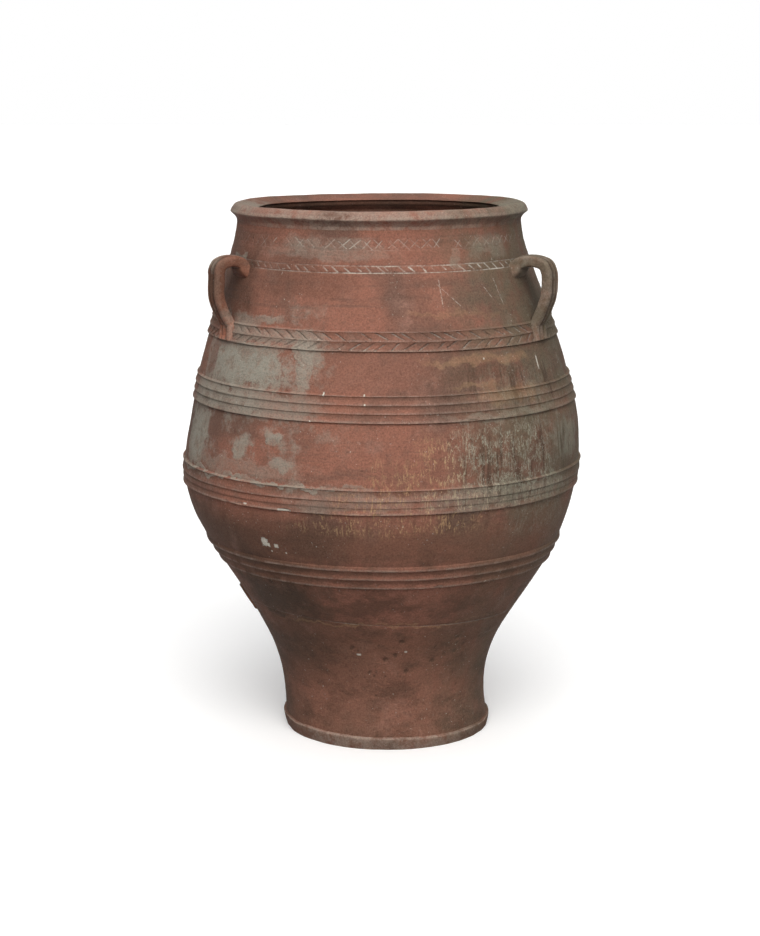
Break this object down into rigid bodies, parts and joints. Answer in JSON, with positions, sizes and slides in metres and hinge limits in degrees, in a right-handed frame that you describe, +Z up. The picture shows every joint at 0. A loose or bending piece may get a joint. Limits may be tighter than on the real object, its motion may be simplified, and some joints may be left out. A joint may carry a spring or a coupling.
{
  "type": "storage jar",
  "caption": "Tall round-bellied earthenware storage jar with a drum-like foot, applied ribbed and incised bands, a thick rolled rim and strap handles below the neck.",
  "frame": {"origin": "centre of the base on the ground, on the jar's axis", "axes": "+Z up along the jar's axis; the front, midway between the left and right handles, faces -Y; +X to the right as seen from the front"},
  "size_m": [0.754, 0.754, 1],
  "materials": {
    "wall": "unglazed reddish-brown earthenware, weathered, with grey lime deposits",
    "band": "unglazed earthenware, finger-ribbed and incised, worn paler on its ridges",
    "rim": "unglazed earthenware, dusty and worn pale",
    "handle": "unglazed earthenware, drawn smooth along its length",
    "base": "unglazed earthenware, dark with soil, chipped pale at its edge"
  },
  "bodies": {
    "root": {"floor_disc": "base", "foot_wall": "wall", "hip_wall": "wall", "belly_wall_lower": "wall", "belly_wall_upper": "wall", "shoulder_wall": "wall", "neck_wall": "wall", "collar_wall": "wall", "rim": "rim", "foot_band": "base", "lower_band": "band", "middle_band": "band", "upper_band": "band", "chevron_band": "band", "handle_left": "handle", "handle_right": "handle", "handle_back": "handle", "tipping_lug": "handle"}
  },
  "joints": []
}
